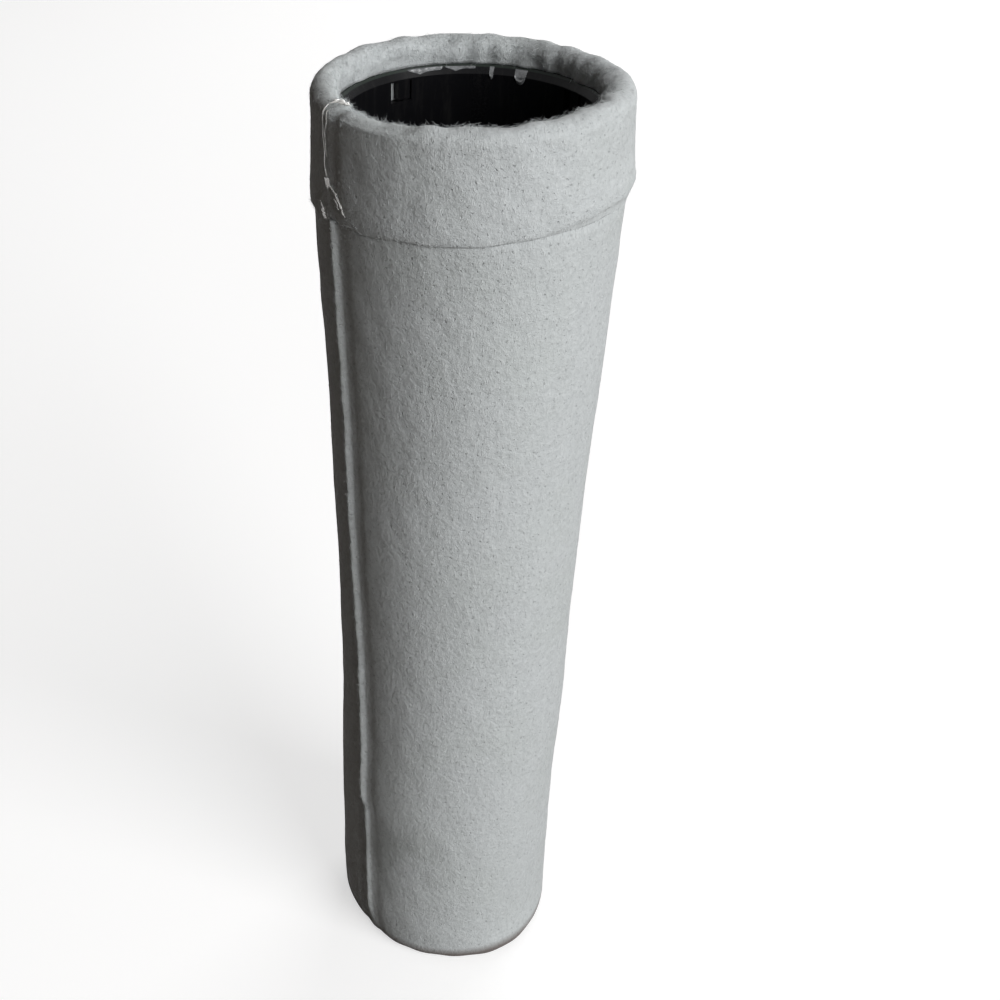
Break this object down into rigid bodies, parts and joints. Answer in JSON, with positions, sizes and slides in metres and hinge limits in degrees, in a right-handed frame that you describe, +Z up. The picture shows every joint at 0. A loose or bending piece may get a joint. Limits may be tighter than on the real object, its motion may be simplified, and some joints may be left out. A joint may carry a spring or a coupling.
{
  "type": "secondary air filter",
  "caption": "Tall open-topped tube of white needle felt with a rolled sealing cuff, over a black plastic lattice cage, for the inside of an engine air cleaner.",
  "frame": {"origin": "centre of the closed end's outside face, on the tube's axis", "axes": "+Z up along the tube's axis towards the open end; -Y faces the viewer of the picture; the felt's seam lies towards -X and -Y"},
  "size_m": [0.112, 0.112, 0.395],
  "materials": {
    "cage_plastic": "moulded black polypropylene, glossy",
    "felt": "needle-punched synthetic felt, off-white, fibrous and matt",
    "plate_plastic": "moulded black polypropylene, satin",
    "hot_melt": "set hot-melt adhesive, milky and shiny"
  },
  "bodies": {
    "root": {"support_cage": "cage_plastic", "felt_sleeve": "felt", "end_plate": "plate_plastic", "seam_glue": "hot_melt", "rim_glue": "hot_melt"}
  },
  "joints": []
}
